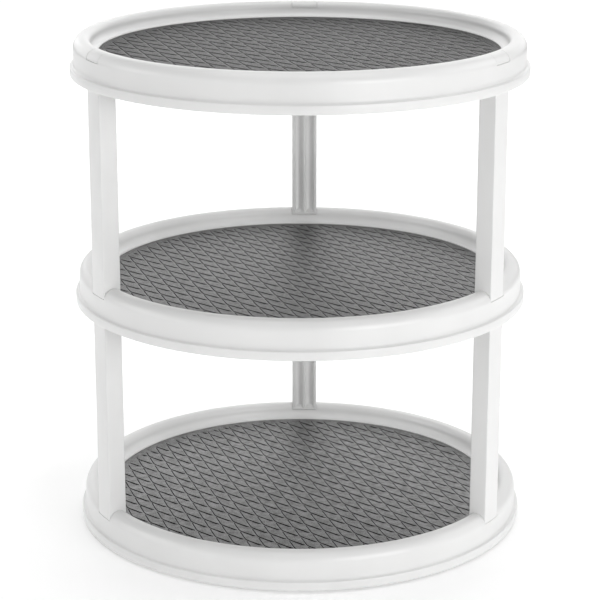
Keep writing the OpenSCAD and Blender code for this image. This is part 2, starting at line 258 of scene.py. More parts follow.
# ---------------------------------------------------------------- material helpers
class Nodes:
    """Short calls for building a node tree."""

    def __init__(self, name):
        self.material = bpy.data.materials.new(name)
        self.material.use_nodes = True
        self.tree = self.material.node_tree
        self.shader = self.tree.nodes["Principled BSDF"]
        self.coords = self.add("ShaderNodeTexCoord").outputs["Object"]

    def add(self, kind, **settings):
        node = self.tree.nodes.new(kind)
        for key, value in settings.items():
            setattr(node, key, value)
        return node

    def link(self, source, target):
        self.tree.links.new(source, target)

    def drive(self, socket, source):
        """Feeds one socket of the shader."""
        self.link(source, self.shader.inputs[socket])

    def set(self, **values):
        """Sets constants on the shader; spaces in a socket's name are underscores."""
        for key, value in values.items():
            self.shader.inputs[key.replace("_", " ")].default_value = value

    def stretched(self, scale):
        """Object coordinates scaled along each axis."""
        node = self.add("ShaderNodeMapping")
        node.inputs["Scale"].default_value = scale
        self.link(self.coords, node.inputs["Vector"])
        return node.outputs["Vector"]

    def noise(self, size, detail=3.0, roughness=0.5, coords=None):
        """Noise with features of about the given size in metres."""
        node = self.add("ShaderNodeTexNoise")
        node.inputs["Scale"].default_value = 1.0 / size
        node.inputs["Detail"].default_value = detail
        node.inputs["Roughness"].default_value = roughness
        self.link(coords or self.coords, node.inputs["Vector"])
        return node.outputs["Fac"]

    def ramp(self, source, stops):
        """Colour ramp: stops are (position, grey or colour)."""
        node = self.add("ShaderNodeValToRGB")
        elements = node.color_ramp.elements
        while len(elements) < len(stops):
            elements.new(0.5)
        for element, (position, value) in zip(elements, stops):
            element.position = position
            if isinstance(value, (int, float)):
                value = (value, value, value)
            element.color = (*value, 1.0)
        self.link(source, node.inputs["Fac"])
        return node.outputs["Color"]

    def math(self, operation, a, b):
        """Result of one sum on two values or sockets."""
        node = self.add("ShaderNodeMath", operation=operation)
        for socket, value in zip(node.inputs, (a, b)):
            if isinstance(value, (int, float)):
                socket.default_value = value
            else:
                self.link(value, socket)
        return node.outputs["Value"]

    def mix(self, factor, a, b):
        """Mix of two colours."""
        node = self.add("ShaderNodeMix", data_type="RGBA")
        sockets = (node.inputs[0], node.inputs[6], node.inputs[7])
        for socket, value in zip(sockets, (factor, a, b)):
            if isinstance(value, (int, float)):
                socket.default_value = value
            elif isinstance(value, tuple):
                socket.default_value = (*value, 1.0)
            else:
                self.link(value, socket)
        return node.outputs[2]

    def bump(self, height, distance, strength=1.0, normal=None):
        """Normal bent by a height; distance is the full height in metres."""
        node = self.add("ShaderNodeBump")
        node.inputs["Distance"].default_value = distance
        node.inputs["Strength"].default_value = strength
        self.link(height, node.inputs["Height"])
        if normal:
            self.link(normal, node.inputs["Normal"])
        return node.outputs["Normal"]


# ---------------------------------------------------------------- surfaces
# Sizes are those of the features that the noises draw; heights are those of the bumps.
CLOUD_SIZE = 45 * MM
CLOUD_SHADE = 0.965
SCUFF_SIZE = 2.2 * MM
SCUFF_STRETCH = (1.0, 1.0, 5.0)
SCUFF_SHADE = 0.86
SCUFF_ROUGHNESS = 0.2
PATCH_SIZE = 22 * MM
MOULD_GRAIN = 1.1 * MM
MOULD_GRAIN_H = 0.012 * MM
RIPPLE_SIZE = 14 * MM
RIPPLE_H = 0.05 * MM
ROUGHNESS_SPREAD = 0.05


def shade(colour, share):
    """A colour made darker."""
    return tuple(share * c for c in colour)


def white_plastic(name, tone, roughness):
    """Satin white moulding: faint cloudiness, fine texture, light scuffs."""
    n = Nodes(name)
    cloud = n.noise(CLOUD_SIZE, 2.0)
    colour = n.ramp(cloud, [(0.35, shade(tone, CLOUD_SHADE)), (0.65, tone)])
    scuff = n.noise(SCUFF_SIZE, 6.0, 0.7, n.stretched(SCUFF_STRETCH))
    scuffed = n.ramp(scuff, [(0.66, 0.0), (0.74, 1.0)])
    patches = n.ramp(n.noise(PATCH_SIZE, 1.0), [(0.52, 0.0), (0.68, 0.35)])
    mask = n.math("MULTIPLY", scuffed, patches)
    n.drive("Base Color", n.mix(mask, colour, shade(tone, SCUFF_SHADE)))
    fine = n.noise(MOULD_GRAIN, 4.0, 0.6)
    rough = n.ramp(fine, [(0.3, roughness - ROUGHNESS_SPREAD), (0.7, roughness + ROUGHNESS_SPREAD)])
    n.drive("Roughness", n.math("ADD", rough, n.math("MULTIPLY", mask, SCUFF_ROUGHNESS)))
    ripple = n.bump(n.noise(RIPPLE_SIZE, 1.0), RIPPLE_H, 0.5)
    n.drive("Normal", n.bump(fine, MOULD_GRAIN_H, 0.8, ripple))
    n.set(IOR=1.5)
    return n.material


MOTTLE_SIZE = 5.0 * MM
MOTTLE_SHARE = 0.4
MOTTLE_H = 0.10 * MM
PIT_H = 0.32 * MM
LINER_ROUGHNESS_SPREAD = 0.1
DARK_SHEEN = 0.55
LIGHT_SHEEN = 1.4


def liner_rubber(name, dark, light, grain, roughness, sheen):
    """Non-slip sheet: mottled dark grey with a fine pitted grain. The dark specks
    shine less than the light ones."""
    n = Nodes(name)
    mottle = n.noise(MOTTLE_SIZE, 4.0, 0.6)
    speck = n.noise(grain, 3.0, 0.7)
    weighed = n.math("MULTIPLY", mottle, MOTTLE_SHARE)
    blend = n.math("ADD", weighed, n.math("MULTIPLY", speck, 1.0 - MOTTLE_SHARE))
    n.drive("Base Color", n.ramp(blend, [(0.40, dark), (0.60, light)]))
    spread = LINER_ROUGHNESS_SPREAD
    n.drive("Roughness", n.ramp(speck, [(0.35, roughness + spread), (0.65, roughness - spread)]))
    shine = n.ramp(blend, [(0.40, DARK_SHEEN * sheen), (0.60, LIGHT_SHEEN * sheen)])
    n.drive("Specular IOR Level", shine)
    soft = n.bump(mottle, MOTTLE_H, 0.5)
    n.drive("Normal", n.bump(speck, PIT_H, 1.0, soft))
    return n.material


def black_rubber():
    """Dusty black rubber of the feet."""
    n = Nodes("foot_rubber")
    dust = n.noise(3 * MM, 5.0, 0.7)
    n.drive("Base Color", n.ramp(dust, [(0.4, 0.018), (0.75, 0.06)]))
    n.drive("Roughness", n.ramp(dust, [(0.3, 0.7), (0.7, 0.95)]))
    n.drive("Normal", n.bump(n.noise(0.5 * MM, 3.0), 0.05 * MM))
    return n.material


def steel():
    """Bright steel with a turned grain."""
    n = Nodes("bearing_steel")
    swirl = n.noise(0.6 * MM, 4.0, 0.6, n.stretched((1.0, 1.0, 6.0)))
    tones = [(0.3, (0.50, 0.51, 0.53)), (0.7, (0.66, 0.67, 0.69))]
    n.drive("Base Color", n.ramp(swirl, tones))
    n.drive("Roughness", n.ramp(swirl, [(0.3, 0.18), (0.7, 0.34)]))
    n.drive("Normal", n.bump(swirl, 0.01 * MM, 0.5))
    n.set(Metallic=1.0)
    return n.material


def nylon():
    """Natural nylon of the cage."""
    n = Nodes("cage_nylon")
    cloud = n.noise(9 * MM, 3.0)
    tones = [(0.3, (0.66, 0.66, 0.62)), (0.7, (0.76, 0.76, 0.72))]
    n.drive("Base Color", n.ramp(cloud, tones))
    n.drive("Roughness", n.ramp(cloud, [(0.3, 0.42), (0.7, 0.55)]))
    n.drive("Normal", n.bump(n.noise(0.9 * MM, 3.0), 0.02 * MM))
    n.set(Subsurface_Weight=0.1)
    return n.material


# ---------------------------------------------------------------- trays
SADDLE_COLUMNS = 6          # on each side of a saddle's middle
BESIDE_SADDLE = [0.0, 0.4 * MM, 1.6 * MM, 3.4 * MM]
PLAIN_COLUMNS = range(7, 114, 2)    # degrees from one saddle to the next
FLOOR_RINGS = (6 * MM, 60 * MM)
FILLET_STEPS = 10
IN_STEPS = 11
OUT_STEPS = 14
SEAM_LAP = 0.5              # degrees that the seam's skin stops short of its edge
STATION_LIFT = 0.02 * MM    # keeps two rings apart at the inner shoulder
WALL_LEAD = 2.0 * MM        # straight wall above the rounded step


def column_places():
    """Columns round a tray: (base angle, sideways offset, inside a saddle)."""
    half_in = POST_W / 2 + SEAM
    half_out = half_in + SADDLE_EDGE
    inside = [half_in * k / SADDLE_COLUMNS for k in range(-SADDLE_COLUMNS, SADDLE_COLUMNS + 1)]
    outside = [half_out + step for step in BESIDE_SADDLE]
    columns = []
    for start in sorted(POST_ANGLES.values()):
        columns += [(start, -y, False) for y in reversed(outside)]
        columns += [(start, y, True) for y in inside]
        columns += [(start, y, False) for y in outside]
        columns += [(start + a, 0.0, False) for a in PLAIN_COLUMNS]
    return columns


def rim_skin(depth):
    """Section of the rim from its inner shoulder over the crest to the posts' seam,
    set back by a depth."""
    skin = arc(CREST_R, IN_Z, IN_ROUND - depth, 180, 90, IN_STEPS)
    skin += arc(CREST_R, OUT_Z, OUT_ROUND - depth, 90, SEAM_ANGLE + SEAM_LAP, OUT_STEPS)[1:]
    return skin


def outside_section():
    """Section from the seam down the wall, round the flange and back up the hollow
    of the rim to the underside of the floor."""
    section = arc(CREST_R, OUT_Z, OUT_ROUND, SEAM_ANGLE, 0, 2)
    section += [(WALL_R, FLANGE_H + STEP_ROUND + WALL_LEAD)]
    section += arc(WALL_R + STEP_ROUND, FLANGE_H + STEP_ROUND, STEP_ROUND, 180, 270, 4)
    section += arc(TRAY_R - FLANGE_ROUND, FLANGE_H - FLANGE_ROUND, FLANGE_ROUND, 90, 0, 5)
    section += arc(TRAY_R - FLANGE_ROUND, FLANGE_ROUND, FLANGE_ROUND, 0, -90, 5)
    section += arc(WALL_R - WALL_T + UNDER_ROUND, UNDER_ROUND, UNDER_ROUND, -90, -180, 3)
    section += arc(CREST_R, OUT_Z, OUT_ROUND - WALL_T, 0, 90, 6)
    section += arc(CREST_R, IN_Z, IN_ROUND - WALL_T, 90, 180, 4)[1:]
    section += arc(LEDGE_R, LEDGE_H + FILLET, FILLET + WALL_T, 0, -90, 6)
    section += [(LEDGE_R, UNDER_H)]
    return section


def tray_stations(tier):
    """Section of a tray from the top of its floor, over the rim and round under
    the floor. Each station is (radius, height, radius and height in a saddle)."""
    floor_in, floor_out = FLOOR_RINGS
    shoulder = CREST_R - IN_ROUND
    plain = [(floor_in, FLOOR_H), (floor_out, FLOOR_H), (SEAT_R, FLOOR_H)]
    plain += [(SEAT_R, LEDGE_H - LEDGE_BEVEL_H), (SEAT_R + LEDGE_BEVEL_W, LEDGE_H)]
    plain += arc(LEDGE_R, LEDGE_H + FILLET, FILLET, -90, 0, FILLET_STEPS)
    plain += [(shoulder, SADDLE_IN_Z)]
    over = [(shoulder, SADDLE_IN_Z + STATION_LIFT)] + rim_skin(0.0)
    recess = [(shoulder + SADDLE_T, SADDLE_IN_Z)] + rim_skin(SADDLE_T)
    outer = outside_section()
    if tier == 0:
        outer += bearing_underside()
    else:
        outer += [(floor_out, UNDER_H), (floor_in, UNDER_H)]
    stations = [(r, z, r, z) for r, z in plain]
    stations += [(r, z, rr, zz) for (r, z), (rr, zz) in zip(over, recess)]
    stations += [(r, z, r, z) for r, z in outer]
    return stations


def bearing_underside():
    """Race ring, shoulder, spigot and pilot hole under the bottom tray."""
    race_r = BALL_R + RACE_GAP
    ball_h = BALL_Z - FLANGE_Z
    ring_h = ball_h + race_r - RACE_GROOVE_D
    half = math.degrees(math.acos((ring_h - ball_h) / race_r))
    points = [(RACE_R + RACE_W / 2, UNDER_H), (RACE_R + RACE_W / 2, ring_h)]
    points += arc(RACE_R, ball_h, race_r, 90 - half, 90 + half, 8)
    points += [(RACE_R - RACE_W / 2, ring_h), (RACE_R - RACE_W / 2, UNDER_H)]
    points += [(SHOULDER_R, UNDER_H), (SHOULDER_R, SHOULDER_Z - FLANGE_Z)]
    end_h = SPIGOT_END - FLANGE_Z
    points += [(SPIGOT_R, SHOULDER_Z - FLANGE_Z), (SPIGOT_R, end_h + SPIGOT_BEVEL)]
    points += [(SPIGOT_R - SPIGOT_BEVEL, end_h), (PILOT_R, end_h)]
    points += [(PILOT_R, FLOOR_H - PILOT_FLOOR)]
    return points


COLUMN_R = 130 * MM         # inside this radius the columns run straight to the middle


def tray_blank(name, tier):
    """Tray turned from its section, with the three saddles let into the rim."""
    columns = column_places()
    stations = tray_stations(tier)
    base = FLANGE_Z + tier * PITCH
    verts = []
    for radius, height, saddle_radius, saddle_height in stations:
        for start, y, inside in columns:
            r = saddle_radius if inside else radius
            z = saddle_height if inside else height
            angle = start + math.degrees(math.asin(y / max(r, COLUMN_R)))
            verts.append(polar(r, angle) + (base + z,))
    n = len(columns)
    faces = []
    for j in range(len(stations) - 1):
        for i in range(n):
            k = (i + 1) % n
            faces.append((j * n + i, (j + 1) * n + i, (j + 1) * n + k, j * n + k))
    top = len(verts)
    verts.append((0.0, 0.0, base + stations[0][1]))
    under = len(verts)
    verts.append((0.0, 0.0, base + stations[-1][1]))
    last = (len(stations) - 1) * n
    for i in range(n):
        k = (i + 1) % n
        faces.append((top, i, k))
        faces.append((under, last + k, last + i))
    return make_mesh(name, verts, faces)


def tray_ribs(tier):
    """Stiffening ribs under the floor, and the ribs that hold the posts' tenons."""
    base = FLANGE_Z + tier * PITCH
    start = RACE_R + RACE_W / 2 - RIB_INSET if tier == 0 else RIB_START_R
    end = LEDGE_R - RIB_INSET
    low = base + UNDER_H - RIB_H
    high = base + UNDER_H + RIB_SINK
    specs = []
    for i in range(RIB_COUNT):
        angle = (i + 0.5) * 360 / RIB_COUNT
        specs.append(box_at(angle, start, end, -RIB_T / 2, RIB_T / 2, low, high))
    if tier == 0:
        return specs
    half = SOCKET_RIB_T / 2
    low = base + SOCKET_RIB_LOW
    high = base + OUT_Z + SOCKET_RIB_REACH
    start = TENON_OUT_R - TENON_T - RIB_INSET
    end = WALL_R - WALL_T / 2
    for angle in POST_ANGLES.values():
        for side in (-1, 1):
            middle = side * (TENON_W / 2 + TENON_GAP + half)
            specs.append(box_at(angle, start, end, middle - half, middle + half, low, high))
    return specs


def tray(tier, materials):
    """One tray: the turned blank joined with its ribs."""
    name = TIERS[tier] + "_tray"
    obj = tray_blank(name + "_moulding", tier)
    verts, faces = boxes(tray_ribs(tier))
    boolean(obj, make_mesh("ribs", verts, faces), "UNION")
    obj.data.set_sharp_from_angle(angle=math.radians(SHARP_ANGLE))
    dress(obj, "turntable", materials, name)
    return obj


# ---------------------------------------------------------------- tongues
def tongue(angle, base):
    """Tongue with its hook, as (verts, faces), for a post or a cap."""
    root = RIM_H - SADDLE_T - TONGUE_SINK
    hook_top = RIM_H - WALL_T - HOOK_DROP
    x0 = TONGUE_R - TONGUE_T / 2
    x1 = TONGUE_R + TONGUE_T / 2
    low = RIM_H - TONGUE_L
    outline = [
        (x0, root), (x0, low + TONGUE_BEVEL), (x0 + TONGUE_BEVEL, low),
        (x1 - TONGUE_TIP, low), (x1, low + HOOK_RAMP),
        (x1 + HOOK_D, hook_top - HOOK_RAMP), (x1 + HOOK_D, hook_top),
        (x1, hook_top), (x1, root),
    ]
    verts = []
    for y in (-TONGUE_W / 2, TONGUE_W / 2):
        verts += [polar(x, angle, y) + (base + z,) for x, z in outline]
    n = len(outline)
    faces = [tuple(range(n)), tuple(range(2 * n - 1, n - 1, -1))]
    faces += [(i, n + i, n + (i + 1) % n, (i + 1) % n) for i in range(n)]
    return verts, faces


def add_part(verts, faces, part):
    """Appends another closed shell to verts and faces."""
    shift = len(verts)
    verts += part[0]
    faces += [tuple(i + shift for i in face) for face in part[1]]


# ---------------------------------------------------------------- posts
FLUTE_STEPS = 10
FLANK_SHARES = [0.5, 1.0, 1.15, 1.35, 1.7, 2.3, 3.0, 3.8, 4.8, 6.0, 7.2, 8.4, 9.4]
FLUTE_RIB_FLAT = 0.9        # share of the rib's half width that stays flat
BACK_STEPS = 7
BACK_CORNER_END = 3.5       # degrees at which the outer corner meets the back face


def half_outline():
    """Half of a post's outline from the middle of its inner face round to the
    middle of its outer face: (x, y, x in a flute, y in a flute)."""
    r = FLUTE_W / 2
    y0 = FLUTE_RIB_T / 2
    y1 = y0 + FLUTE_W
    half = POST_W / 2
    edge = FLUTE_EDGE
    points = [(POST_IN_R, 0.0) * 2, (POST_IN_R, (y0 - edge) * FLUTE_RIB_FLAT) * 2]
    flute_r = POST_IN_R + FLUTE_D - r
    flute = [(POST_IN_R + edge, y0), (flute_r, y0)]
    for k in range(1, FLUTE_STEPS):
        turn = math.pi * k / FLUTE_STEPS
        flute.append((flute_r + r * math.sin(turn), y0 + r - r * math.cos(turn)))
    flute += [(flute_r, y1), (POST_IN_R + edge, y1)]
    for k, (x, y) in enumerate(flute):
        points.append((POST_IN_R, y0 + (y1 - y0) * (k + 0.5) / len(flute), x, y))
    points.append((POST_IN_R, y1 + edge) * 2)
    solid = arc(POST_IN_R + POST_IN_ROUND, half - POST_IN_ROUND, POST_IN_ROUND, 180, 90, 4)
    corner = POST_OUT_R - POST_OUT_ROUND - half * half / (2 * POST_OUT_R)
    for share in FLANK_SHARES:
        x = min(POST_IN_R + (NOTCH_R - POST_IN_R) * share, corner)
        if x > POST_IN_R + POST_IN_ROUND:
            solid.append((x, half))
    solid += arc(corner, half - POST_OUT_ROUND, POST_OUT_ROUND, 90, BACK_CORNER_END, 6)
    for k in reversed(range(BACK_STEPS)):
        y = (half - POST_OUT_ROUND) * k / BACK_STEPS
        solid.append((math.sqrt(POST_OUT_R ** 2 - y * y), y))
    return points + [(x, y, x, y) for x, y in solid]


def post_outline():
    """Whole outline, closed, the half and its mirror."""
    half = half_outline()
    mirror = [(x, -y, fx, -fy) for x, y, fx, fy in reversed(half[1:-1])]
    return half + mirror


# Levels above the rim's skin at the foot of a post, each with its share of the flutes' depth.
FOOT_LIFTS = {
    "skin": (0.0, 0.0),
    "plate": (END_PLATE_T, 0.0),
    "plate_top": (END_PLATE_T + PLATE_EDGE_H, 0.95),
    "plate_fillet": (END_PLATE_T + FOOT_FILLET_H, 1.0),
}


def post_sections():
    """Levels up a post: (name or height, share of the flutes' depth)."""
    top = PITCH - END_PLATE_T
    shoulder = PITCH - CONTACT_GAP
    foot = [(level, share) for level, (_, share) in FOOT_LIFTS.items()]
    head = [(top - HEAD_FILLET_H, 1.0), (top - PLATE_EDGE_H, 0.86), (top, 0.0), (shoulder, 0.0)]
    return foot + head


def section_height(level, radius):
    """Height of a section at a radius; the levels of the foot follow the rim."""
    d = SADDLE_T - CONTACT_GAP
    skin = max(rim_height(min(max(radius, NOTCH_R), POST_OUT_R), d), SADDLE_LOW_Z)
    if radius < CREST_R:
        skin = max(skin, NOTCH_Z)
    if level in FOOT_LIFTS:
        return skin + FOOT_LIFTS[level][0]
    return level


def post_body(angle, base):
    """Fluted post from its foot on the rim to its shoulder, as (verts, faces)."""
    outline = post_outline()
    sections = post_sections()
    verts = []
    for level, share in sections:
        for x, y, fx, fy in outline:
            px = x + (fx - x) * share
            py = y + (fy - y) * share
            z = section_height(level, math.hypot(px, py))
            verts.append(polar(px, angle, py) + (base + z,))
    n = len(outline)
    faces = []
    for j in range(len(sections) - 1):
        for i in range(n):
            k = (i + 1) % n
            faces.append((j * n + i, j * n + k, (j + 1) * n + k, (j + 1) * n + i))
    # foot and shoulder: strips from one side of the outline to its mirror
    last = (len(sections) - 1) * n
    half = n // 2
    for i in range(half):
        a, b, c, d = i, i + 1, (n - i - 1) % n, (n - i) % n
        if i == 0:
            faces.append((a, c, b))
            faces.append((last + a, last + b, last + c))
        elif i == half - 1:
            faces.append((a, d, b))
            faces.append((last + a, last + b, last + d))
        else:
            faces.append((a, d, c, b))
            faces.append((last + a, last + b, last + c, last + d))
    return verts, faces


def tenon(angle, base):
    """Tenon on a post's shoulder, its top edge bevelled."""
    verts = []
    r1 = TENON_OUT_R
    r0 = TENON_OUT_R - TENON_T
    bevel = TENON_BEVEL
    for z, inset in ((PITCH - TENON_SINK, 0.0), (TENON_TOP - bevel, 0.0), (TENON_TOP, bevel)):
        for r, side in ((r0 + inset, -1), (r1 - inset, -1), (r1 - inset, 1), (r0 + inset, 1)):
            verts.append(polar(r, angle, side * (TENON_W / 2 - inset)) + (base + z,))
    faces = [(0, 3, 2, 1), (8, 9, 10, 11)]
    for level in (0, 4):
        for i in range(4):
            k = (i + 1) % 4
            faces.append((level + i, level + k, level + 4 + k, level + 4 + i))
    return verts, faces


def post(tier, place, materials):
    """One post with its tenon above and its tongue below."""
    node = ("lower", "upper")[tier] + "_post_" + place
    angle = POST_ANGLES[place]
    base = FLANGE_Z + tier * PITCH
    verts, faces = post_body(angle, base)
    add_part(verts, faces, tenon(angle, base))
    add_part(verts, faces, tongue(angle, base))
    obj = make_mesh(node + "_moulding", verts, faces, POST_SHARP_ANGLE)
    dress(obj, "turntable", materials, node)
    return obj


# ---------------------------------------------------------------- socket caps
CAP_START = 179             # degrees round the inner shoulder
CAP_IN_STEPS = 10
CAP_COLUMNS = 4             # on each side of a cap's middle


def cap_skin(depth):
    """Section of a cap along the rim, set back by a depth."""
    skin = arc(CREST_R, IN_Z, IN_ROUND - depth, CAP_START, 90, CAP_IN_STEPS)
    skin += arc(CREST_R, OUT_Z, OUT_ROUND - depth, 90, SADDLE_ANGLE, OUT_STEPS)[1:]
    return skin


def cap_faces(m, w):
    """Faces of a cap: m stations by w columns above, and as many below."""
    faces = []
    low = m * w
    for j in range(m - 1):
        for i in range(w - 1):
            a = j * w + i
            faces.append((a, a + 1, a + w + 1, a + w))
            faces.append((low + a, low + a + w, low + a + w + 1, low + a + 1))
        for i, flip in ((0, False), (w - 1, True)):
            a = j * w + i
            side = (a, a + w, low + a + w, low + a)
            faces.append(side[::-1] if flip else side)
    for j, flip in ((0, True), (m - 1, False)):
        for i in range(w - 1):
            a = j * w + i
            end = (a, a + 1, low + a + 1, low + a)
            faces.append(end[::-1] if flip else end)
    return faces


def socket_cap(place, materials):
    """Cap that lies flush in a saddle of the top tray, its upper edge eased."""
    angle = POST_ANGLES[place]
    base = FLANGE_Z + 2 * PITCH
    half = POST_W / 2
    inner = [half * k / CAP_COLUMNS for k in range(1 - CAP_COLUMNS, CAP_COLUMNS)]
    across = [-half, -half + CAP_EDGE] + inner + [half - CAP_EDGE, half]
    skins = [cap_skin(0.0), cap_skin(SADDLE_T - CONTACT_GAP)]
    m = len(skins[0])
    verts = []
    for level, skin in enumerate(skins):
        for j, (r, z) in enumerate(skin):
            for y in across:
                rim = level == 0 and (abs(y) == half or j in (0, m - 1))
                other_r, other_z = skins[1][j]
                sink = CAP_EDGE / SADDLE_T if rim else 0.0
                rr = r + (other_r - r) * sink
                zz = z + (other_z - z) * sink
                x = math.sqrt(rr * rr - y * y)
                verts.append(polar(x, angle, y) + (base + zz,))
    faces = cap_faces(m, len(across))
    add_part(verts, faces, tongue(angle, base))
    node = "socket_cap_" + place
    obj = make_mesh(node + "_moulding", verts, faces)
    dress(obj, "turntable", materials, node)
    return obj


# ---------------------------------------------------------------- liners
# The embossed pattern is one mark, a thin leg and a thick leg, repeated on two steps.
# Sizes here are in millimetres; the steps, legs and widths grow with the pattern's scale.
STEP_U = Vector((7.67, 5.48))
STEP_V = Vector((4.96, -15.39))
THIN_LEG = Vector((3.34, -10.23))
THICK_LEG = Vector((9.49, -8.28))
THIN_HALF_W = 0.38
THICK_HALF_W = 0.9
THIN_STEPS = (-0.42, -0.3, 0.0, 0.4, 0.7)   # shares of the thin leg, before the bend
THICK_STEPS = (0.3, 0.6, 0.85, 0.95, 1.0)   # shares of the thick leg, after the bend
BEND_SHARE = 0.22                           # share of each leg that the bend takes up
BEND_STEPS = 4
FEWEST_STATIONS = 4                         # shorter marks are left out at the edge
GROOVE_DEPTH = 0.6
RIDGE_HEIGHT = 0.14                         # raised edge beside the thin leg
RIDGE_SLOPE = 0.75                          # width of the slope outside it
RIDGE_HEIGHT_FADE = 0.7                     # shares lost towards the thick end
RIDGE_SLOPE_FADE = 0.6
PATTERN_MARGIN = 3.2                        # plain sheet along the liner's edge
PATTERN_LAP = 30.0                          # how far outside the liner marks are tried
CELL = 5.0                                  # less than the shorter step
CELL_SPARE = 4
GROOVE_SHARE = 0.5                          # deeper than this share gets the groove material, painted dark as shade
RIDGE_SHARE = 0.7                           # higher than this share gets the ridge material, painted lighter as a highlight
MERGE_GAP = 1e-4
LINER_SEGMENTS = 240
LINER_EDGE = 0.25 * MM
LINER_FOOT = 0.1 * MM


def tick_stations():
    """Middle line of one groove: (point, share of the way from thin to thick)."""
    bend = THIN_LEG
    a = bend - THIN_LEG * BEND_SHARE
    b = bend + THICK_LEG * BEND_SHARE
    stations = [(THIN_LEG * (t * (1 - BEND_SHARE)), 0.0) for t in THIN_STEPS]
    for k in range(BEND_STEPS + 1):
        t = k / BEND_STEPS
        point = a * (1 - t) ** 2 + bend * (2 * t * (1 - t)) + b * t ** 2
        stations.append((point, t * 0.5))
    end = THIN_LEG + THICK_LEG
    stations += [(b + (end - b) * t, 0.5 + 0.5 * t) for t in THICK_STEPS]
    return stations


def tick_lines(origin, scale, limit):
    """The four lines of one mark with their heights, cut off at the liner's edge:
    foot of the ridge's slope, ridge, bottom of the groove, its plain edge."""
    stations = [(origin + p * scale, share) for p, share in tick_stations()]
    kept = [s for s in stations if s[0].length < limit]
    if len(kept) < FEWEST_STATIONS:
        return None
    first = stations.index(kept[0])
    kept = stations[first:first + len(kept)]
    if any(p.length >= limit for p, share in kept):
        return None
    lines = [[], [], [], []]
    last = len(kept) - 1
    for i, (p, share) in enumerate(kept):
        before = kept[max(i - 1, 0)][0]
        after = kept[min(i + 1, last)][0]
        along = (after - before).normalized()
        left = Vector((-along.y, along.x))
        width = (THIN_HALF_W + (THICK_HALF_W - THIN_HALF_W) * share) * scale
        slope = RIDGE_SLOPE * (1.0 - RIDGE_SLOPE_FADE * share)
        ridge = RIDGE_HEIGHT * (1.0 - RIDGE_HEIGHT_FADE * share)
        if i == 0 or (i == last and share < 1.0):
            lines[0].append((p, 0.0))
            continue
        lines[0].append((p + left * -(width + slope), 0.0))
        lines[1].append((p + left * -width, ridge))
        lines[2].append((p, -GROOVE_DEPTH))
        lines[3].append((p + left * width, 0.0))
    return lines


def liner_pattern(radius, scale, phase):
    """Every groove of a liner as input for the triangulation: points, heights, edges."""
    points = []
    heights = []
    edges = []
    reach = int(radius / CELL) + CELL_SPARE
    for i in range(-reach, reach):
        for j in range(-reach, reach):
            origin = phase + (STEP_U * i + STEP_V * j) * scale
            if origin.length > radius + PATTERN_LAP:
                continue
            lines = tick_lines(origin, scale, radius - PATTERN_MARGIN)
            if lines is None:
                continue
            first = len(points)
            final = first + len(lines[0]) - 1
            for line in lines:
                begin = len(points)
                for p, z in line:
                    points.append(p)
                    heights.append(z)
                stop = len(points) - 1
                edges += [(k, k + 1) for k in range(begin, stop)]
                if begin > first:
                    edges += [(first, begin), (stop, final)]
    return points, heights, edges


def circle(radius, count):
    """Points round the axis, starting on +X."""
    points = []
    for k in range(count):
        a = 2 * math.pi * k / count
        points.append((radius * math.cos(a), radius * math.sin(a)))
    return points


def liner_zone(heights, deep, raised):
    """Material of a face: 0 sheet, 1 groove painted dark as shade, 2 ridge painted lighter as a
    highlight.
    """
    if min(heights) < deep:
        return 1
    return 2 if max(heights) > raised else 0


def liner_edge(verts, faces, upper, levels):
    """Adds the sheet's edge below a ring of vertices, and its underside."""
    for r, z in levels:
        lower = []
        for x, y in circle(r, len(upper)):
            lower.append(len(verts))
            verts.append((x, y, z))
        for k in range(len(upper)):
            m = (k + 1) % len(upper)
            faces.append((upper[k], lower[k], lower[m], upper[m]))
        upper = lower
    faces.append(tuple(reversed(upper)))


def liner(tier, materials, scale, phase):
    """Non-slip liner with its embossed grooves as real geometry."""
    name = TIERS[tier] + "_liner"
    base = FLANGE_Z + tier * PITCH + FLOOR_H
    top = base + LINER_T
    radius = (LINER_R - LINER_EDGE) / MM
    points, heights, edges = liner_pattern(radius, scale, phase)
    start = len(points)
    count = LINER_SEGMENTS
    points += [Vector(p) for p in circle(radius, count)]
    heights += [0.0] * count
    edges += [(start + k, start + (k + 1) % count) for k in range(count)]
    found, _, triangles, origins, _, _ = delaunay_2d_cdt(points, edges, [], 0, MERGE_GAP)
    verts = []
    rim = {}
    for index, (p, sources) in enumerate(zip(found, origins)):
        z = min((heights[k] for k in sources), default=0.0)
        verts.append((p.x * MM, p.y * MM, top + z * MM))
        for k in sources:
            if k >= start:
                rim[k - start] = index
    faces = [tuple(face) for face in triangles]
    deep = top - GROOVE_SHARE * GROOVE_DEPTH * MM
    raised = top + RIDGE_SHARE * RIDGE_HEIGHT * MM
    zones = [liner_zone([verts[i][2] for i in face], deep, raised) for face in faces]
    levels = ((LINER_R, top - LINER_EDGE), (LINER_R, base + LINER_FOOT), (LINER_R - LINER_FOOT, base))
    liner_edge(verts, faces, [rim[k] for k in range(count)], levels)
    obj = make_mesh(name + "_sheet", verts, faces, LINER_SHARP_ANGLE)
    dress(obj, "turntable", materials, name)
    for polygon, zone in zip(obj.data.polygons, zones):
        polygon.material_index = zone
    return obj


# ---------------------------------------------------------------- stage, light and camera
VIEW_TURN = 1.33            # degrees that the object stands turned from the camera
CAMERA_BACK = 1.39876       # metres from the axis, as fitted to the rims in the photo
CAMERA_HEIGHT = 0.56292
CAMERA_PITCH = 16.443
CAMERA_LENS = 127.6
SENSOR = 36.0
LIGHT_AIM = 0.17            # height that every light is aimed at
LIGHT_DISTANCE = 2.5
BACKDROP = 1.05             # brightness of the world where the camera sees it
AMBIENT = 0.02              # brightness of the world as a light
FLOOR_HALF = 2.0
FLOOR_GLOW = 0.21


